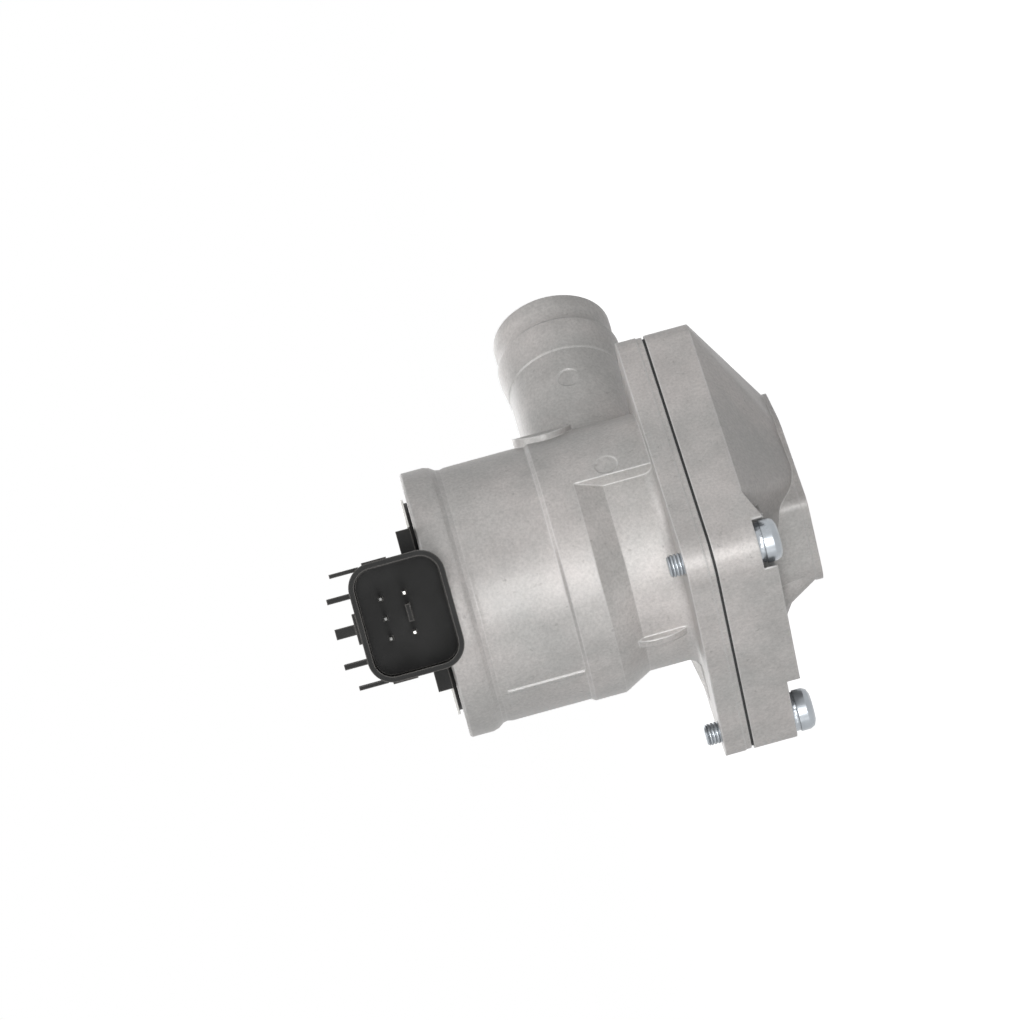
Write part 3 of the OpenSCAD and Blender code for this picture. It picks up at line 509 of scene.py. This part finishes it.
class AirValveLook(bpy.types.PropertyGroup):
    """Colours and surface of the valve's pieces."""

    casting_cool: bpy.props.FloatVectorProperty(
        name="Cool casting", description="Colour of the casting's cooler patches",
        default=(0.545, 0.536, 0.522), size=3, subtype="COLOR", min=0, max=1)
    casting_warm: bpy.props.FloatVectorProperty(
        name="Warm casting", description="Colour of the casting's warmer patches",
        default=(0.66, 0.628, 0.611), size=3, subtype="COLOR", min=0, max=1)
    casting_metallic: bpy.props.FloatProperty(
        name="Casting metallic", description="How metallic the dull casting looks",
        default=0.12, min=0, max=1, subtype="FACTOR")
    # Colour of the painted highlight on the casting's edges and creases, partly wear
    casting_highlight_colour: bpy.props.FloatVectorProperty(
        name="Casting edges", description="Colour of the casting's rubbed edges",
        default=(0.88, 0.87, 0.86), size=3, subtype="COLOR", min=0, max=1)
    # Reach of the painted edge highlight, and radius of the soft edge rounding
    casting_edge_reach: bpy.props.FloatProperty(
        name="Casting wear width", description="How far the rubbed edges reach",
        default=0.55 * MM, min=0, max=2 * MM, unit="LENGTH")
    casting_roughness: bpy.props.FloatProperty(
        name="Casting roughness", description="Roughness of the casting's skin",
        default=0.40, min=0, max=1, subtype="FACTOR")
    casting_grain: bpy.props.FloatProperty(
        name="Casting grain", description="Strength of the casting's grain",
        default=1.0, min=0, max=4)
    casting_edge: bpy.props.FloatProperty(
        name="Casting edge radius", description="Radius of the castings' edges",
        default=0.3 * MM, min=0, max=1 * MM, unit="LENGTH")
    zinc: bpy.props.FloatVectorProperty(
        name="Zinc", description="Colour of the zinc plating",
        default=(0.43, 0.46, 0.49), size=3, subtype="COLOR", min=0, max=1)
    plastic: bpy.props.FloatVectorProperty(
        name="Plastic", description="Colour of the cap and connector",
        default=(0.007, 0.007, 0.0066), size=3, subtype="COLOR", min=0, max=1)
    # Colour of the painted highlight on the plastic's edges, partly wear
    plastic_highlight_colour: bpy.props.FloatVectorProperty(
        name="Plastic edges", description="Colour of the plastic's rubbed edges",
        default=(0.19, 0.18, 0.17), size=3, subtype="COLOR", min=0, max=1)
    plastic_grain: bpy.props.FloatProperty(
        name="Plastic grain", description="Strength of the plastic's grain",
        default=1.0, min=0, max=4)
    spring_radius: bpy.props.FloatProperty(
        name="Spring radius", description="Mean radius of the return spring",
        default=7.6 * MM, unit="LENGTH")
    spring_wire: bpy.props.FloatProperty(
        name="Spring wire", description="Diameter of the spring's wire",
        default=1.2 * MM, unit="LENGTH")
    spring_turns: bpy.props.IntProperty(
        name="Spring turns", description="Turns of the return spring", default=5, min=3, max=8)


class AirValveStudio(bpy.types.PropertyGroup):
    """Camera and light."""

    azimuth: bpy.props.FloatProperty(
        name="Azimuth", description="Where the camera stands round the valve",
        default=math.radians(-41.148), subtype="ANGLE")
    elevation: bpy.props.FloatProperty(
        name="Elevation", description="Height angle of the camera",
        default=math.radians(1.042), subtype="ANGLE")
    roll: bpy.props.FloatProperty(
        name="Roll", description="Turn of the camera about its own axis",
        default=math.radians(254.723), subtype="ANGLE")
    distance: bpy.props.FloatProperty(
        name="Distance", description="From the camera to the valve's middle",
        default=1257.9 * MM, unit="LENGTH")
    focal_px: bpy.props.FloatProperty(
        name="Focal length", description="Focal length in pixels of the frame", default=5613.5)
    offset_right: bpy.props.FloatProperty(
        name="Offset right", description="How far right of the frame's centre the valve lies",
        default=22.696 * MM, unit="LENGTH")
    offset_up: bpy.props.FloatProperty(
        name="Offset up", description="How far above the frame's centre the valve lies",
        default=-13.432 * MM, unit="LENGTH")
    world: bpy.props.FloatProperty(
        name="Ambient", description="Strength of the light from all round", default=0.1, min=0)
    key: bpy.props.FloatProperty(
        name="Key light", description="Power of the main lamp",
        default=4.4, min=0, unit="POWER")
    side: bpy.props.FloatProperty(
        name="Side light", description="Power of the lamp beside the flanges",
        default=0.5, min=0, unit="POWER")
    fill: bpy.props.FloatProperty(
        name="Fill light", description="Power of the upper lamp",
        default=3.5, min=0, unit="POWER")
    back: bpy.props.FloatProperty(
        name="Back light", description="Power of the lamp behind the valve",
        default=3.0, min=0, unit="POWER")


# Operators


def background_rays(nodes, links, rays):
    """1 where the camera, a reflection or a transparent surface looks at the surroundings."""
    total = rays.outputs["Is Camera Ray"]
    for name in ("Is Glossy Ray", "Is Transmission Ray"):
        larger = nodes.new("ShaderNodeMath")
        larger.operation = "MAXIMUM"
        links.new(total, larger.inputs[0])
        links.new(rays.outputs[name], larger.inputs[1])
        total = larger.outputs[0]
    return total


class AIRVALVE_OT_stage(bpy.types.Operator):
    """Sets up the camera, the floor, the lamps and the white surroundings"""

    bl_idname = "air_valve.stage"
    bl_label = "Set Up Studio"

    def execute(self, context):
        studio = context.scene.air_valve_studio
        self.camera(context, studio)
        for setting, azimuth, elevation, distance, size in LAMPS:
            power = getattr(studio, setting)
            self.lamp(setting + "_lamp", (azimuth, elevation), distance, size, power)
        self.world(context.scene, studio)
        self.floor()
        context.scene.view_settings.view_transform = "Standard"
        return {"FINISHED"}

    def camera(self, context, studio):
        """Camera at the photograph's angle."""
        a, e, r = studio.azimuth, studio.elevation, studio.roll
        back = Vector((math.sin(a) * math.cos(e), -math.cos(a) * math.cos(e), math.sin(e)))
        level = Vector((math.cos(a), math.sin(a), 0))
        above = back.cross(level)
        right = level * math.cos(r) + above * math.sin(r)
        up = above * math.cos(r) - level * math.sin(r)
        data = bpy.data.cameras.new("camera")
        data.sensor_fit = "HORIZONTAL"
        data.sensor_width = SENSOR_MM
        data.lens = studio.focal_px / IMAGE_PX * SENSOR_MM
        data.clip_start = CAMERA_NEAR
        data.clip_end = CAMERA_FAR
        camera = bpy.data.objects.new("camera", data)
        context.scene.collection.objects.link(camera)
        place = MIDDLE + studio.distance * back
        place = place - studio.offset_right * right - studio.offset_up * up
        turn = Matrix((right, up, back)).transposed().to_4x4()
        camera.matrix_world = Matrix.Translation(place) @ turn
        context.scene.camera = camera

    def lamp(self, name, direction, distance, size, power):
        """Soft lamp aimed at the valve; its azimuth counts from the spigot's side."""
        a, e = (math.radians(angle) for angle in direction)
        towards = Vector((math.cos(a) * math.cos(e), math.sin(a) * math.cos(e), math.sin(e)))
        place = MIDDLE + distance * towards
        data = bpy.data.lights.new(name, "AREA")
        data.shape = "ELLIPSE"
        data.size, data.size_y = size
        data.energy = power
        lamp = bpy.data.objects.new(name, data)
        bpy.context.scene.collection.objects.link(lamp)
        lamp.location = place
        lamp.rotation_euler = (place - MIDDLE).to_track_quat("Z", "Y").to_euler()

    def world(self, scene, studio):
        """White to the camera and in reflections, dimmer as a light."""
        world = bpy.data.worlds.new("white_studio")
        world.use_nodes = True
        nodes, links = world.node_tree.nodes, world.node_tree.links
        backdrop = nodes["Background"]
        backdrop.inputs["Color"].default_value = (1, 1, 1, 1)
        rays = nodes.new("ShaderNodeLightPath")
        strength = nodes.new("ShaderNodeMapRange")
        strength.inputs["To Min"].default_value = studio.world
        strength.inputs["To Max"].default_value = BACKDROP_STRENGTH
        links.new(background_rays(nodes, links, rays), strength.inputs["Value"])
        links.new(strength.outputs[0], backdrop.inputs["Strength"])
        scene.world = world

    def floor(self):
        """Pale floor under the outlet face: white to the camera except in the shadow."""
        bpy.ops.object.select_all(action="DESELECT")
        height = CAD_BOX[0][2] - FLOOR_GAP
        bpy.ops.mesh.primitive_plane_add(size=FLOOR_SIZE, location=(0, 0, height))
        floor = bpy.context.active_object
        floor.name = "floor"
        material = bpy.data.materials.new("pale_floor")
        material.use_nodes = True
        nodes, links = material.node_tree.nodes, material.node_tree.links
        nodes.clear()
        matt = nodes.new("ShaderNodeBsdfDiffuse")
        matt.inputs["Color"].default_value = FLOOR_COLOUR
        glow = nodes.new("ShaderNodeEmission")
        rays = nodes.new("ShaderNodeLightPath")
        lift = nodes.new("ShaderNodeMapRange")
        lift.inputs["To Max"].default_value = FLOOR_GLOW
        links.new(background_rays(nodes, links, rays), lift.inputs["Value"])
        links.new(lift.outputs[0], glow.inputs["Strength"])
        total = nodes.new("ShaderNodeAddShader")
        links.new(matt.outputs[0], total.inputs[0])
        links.new(glow.outputs[0], total.inputs[1])
        output = nodes.new("ShaderNodeOutputMaterial")
        links.new(total.outputs[0], output.inputs["Surface"])
        floor.data.materials.append(material)


class AIRVALVE_OT_castings(bpy.types.Operator):
    """Makes the body and the outlet casting with rounded edges"""

    bl_idname = "air_valve.castings"
    bl_label = "Make Castings"

    def execute(self, context):
        look = context.scene.air_valve_look
        rounded_copy("valve_body", "body_casting", look.casting_edge, look)
        rounded_copy("outlet_housing", "outlet_casting", look.casting_edge, look)
        return {"FINISHED"}


class AIRVALVE_OT_fasteners(bpy.types.Operator):
    """Makes the screws and their spring washers"""

    bl_idname = "air_valve.fasteners"
    bl_label = "Make Screws"

    def execute(self, context):
        look = context.scene.air_valve_look
        rounded_copy("flange_screws", "joint_screws", SCREW_EDGE, look)
        rounded_copy("screw_washers", "spring_washers", SMALL_EDGE, look, 1)
        rounded_copy("reed_screws", "reed_fixing_screws", SMALL_EDGE, look, 1)
        rounded_copy("poppet_nut", "stem_nut", NUT_EDGE, look)
        return {"FINISHED"}


class AIRVALVE_OT_cap(bpy.types.Operator):
    """Makes the cap with the connector, its pins and the retaining plate"""

    bl_idname = "air_valve.cap"
    bl_label = "Make Cap"

    def execute(self, context):
        look = context.scene.air_valve_look
        rounded_copy("end_cap", "connector_cap", CAP_EDGE, look)
        rounded_copy("retaining_plate", "cap_plate", PLATE_EDGE, look, 1)
        # The sensor pins get the darker copy of the pins' tin: painted shade
        rounded_copy("sensor_pins", "sensor_contacts", PIN_EDGE, look, finish="shaded_tin_pins")
        rounded_copy("solenoid_pins", "coil_contacts", PIN_EDGE, look)
        return {"FINISHED"}


class AIRVALVE_OT_spring(bpy.types.Operator):
    """Coils the return spring"""

    bl_idname = "air_valve.spring"
    bl_label = "Coil Spring"

    def execute(self, context):
        look = context.scene.air_valve_look
        low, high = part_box("return_spring")
        steps = SPRING_STEPS
        wire = look.spring_wire
        axis = Vector((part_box("valve_stem")[0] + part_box("valve_stem")[1]) / 2)
        closed = wire * CLOSED_PITCH / steps
        turns = look.spring_turns
        rise = high.z - low.z - wire
        open_step = (rise - 2 * steps * closed) / ((turns - 2) * steps)
        bpy.ops.object.select_all(action="DESELECT")
        bpy.ops.mesh.primitive_circle_add(
            vertices=WIRE_SIDES, radius=wire / 2, fill_type="NGON",
            location=(axis.x + look.spring_radius, axis.y, low.z + wire / 2),
            rotation=(math.pi / 2, 0, 0))
        spring = bpy.context.active_object
        spring.name = spring.data.name = "poppet_spring"
        bpy.ops.object.transform_apply(location=True, rotation=True, scale=True)
        edit(spring)
        for step in range(turns * steps):
            at_end = step < steps or step >= (turns - 1) * steps
            bpy.ops.mesh.extrude_region_move(
                TRANSFORM_OT_translate={"value": (0, 0, closed if at_end else open_step)})
            bpy.ops.transform.rotate(
                value=2 * math.pi / steps, orient_axis="Z",
                center_override=(axis.x, axis.y, 0))
        bpy.ops.mesh.select_all(action="SELECT")
        bpy.ops.mesh.normals_make_consistent(inside=False)
        leave_edit()
        bpy.ops.object.shade_smooth_by_angle(angle=SPRING_SMOOTH_ANGLE)
        dress(spring, "return_spring", look)
        keep = (rise + wire - full_lift()) / (rise + wire)
        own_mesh(spring)
        return {"FINISHED"}


def full_lift():
    """Full lift of the poppet, from the record's joint."""
    return next(j for j in frame["joints"] if j["name"] == "poppet_lift")["range_m"][1]


class AIRVALVE_OT_inner_pieces(bpy.types.Operator):
    """Gives the pieces inside the valve their finishes"""

    bl_idname = "air_valve.inner_pieces"
    bl_label = "Finish Inner Pieces"

    def execute(self, context):
        look = context.scene.air_valve_look
        for name, obj in NODES.items():
            obj.data.materials.clear()
            obj.data.materials.append(all_finishes(look)[SLOTS[name]])
            alone(obj)
            if name != "return_spring":
                bpy.ops.object.shade_smooth_by_angle(angle=INNER_SMOOTH_ANGLE)
        return {"FINISHED"}


class AIRVALVE_PT_panel(bpy.types.Panel):
    """Steps and settings of the air valve"""

    bl_idname = "AIRVALVE_PT_panel"
    bl_label = "Air Valve"
    bl_space_type = "VIEW_3D"
    bl_region_type = "UI"
    bl_category = "Air Valve"

    def draw(self, context):
        for step in STEPS:
            self.layout.operator(step.bl_idname)
        for settings in (context.scene.air_valve_look, context.scene.air_valve_studio):
            box = self.layout.box()
            for key in settings.__annotations__:
                box.prop(settings, key)


STEPS = (AIRVALVE_OT_stage, AIRVALVE_OT_inner_pieces, AIRVALVE_OT_castings, AIRVALVE_OT_fasteners,
         AIRVALVE_OT_cap, AIRVALVE_OT_spring)
CLASSES = (AirValveLook, AirValveStudio, *STEPS, AIRVALVE_PT_panel)


def register():
    for cls in CLASSES:
        bpy.utils.register_class(cls)
    bpy.types.Scene.air_valve_look = bpy.props.PointerProperty(type=AirValveLook)
    bpy.types.Scene.air_valve_studio = bpy.props.PointerProperty(type=AirValveStudio)


def unregister():
    del bpy.types.Scene.air_valve_look
    del bpy.types.Scene.air_valve_studio
    for cls in reversed(CLASSES):
        bpy.utils.unregister_class(cls)


def main():
    register()
    for step in STEPS:
        group, name = step.bl_idname.split(".")
        getattr(getattr(bpy.ops, group), name)()


if __name__ == "__main__":
    main()
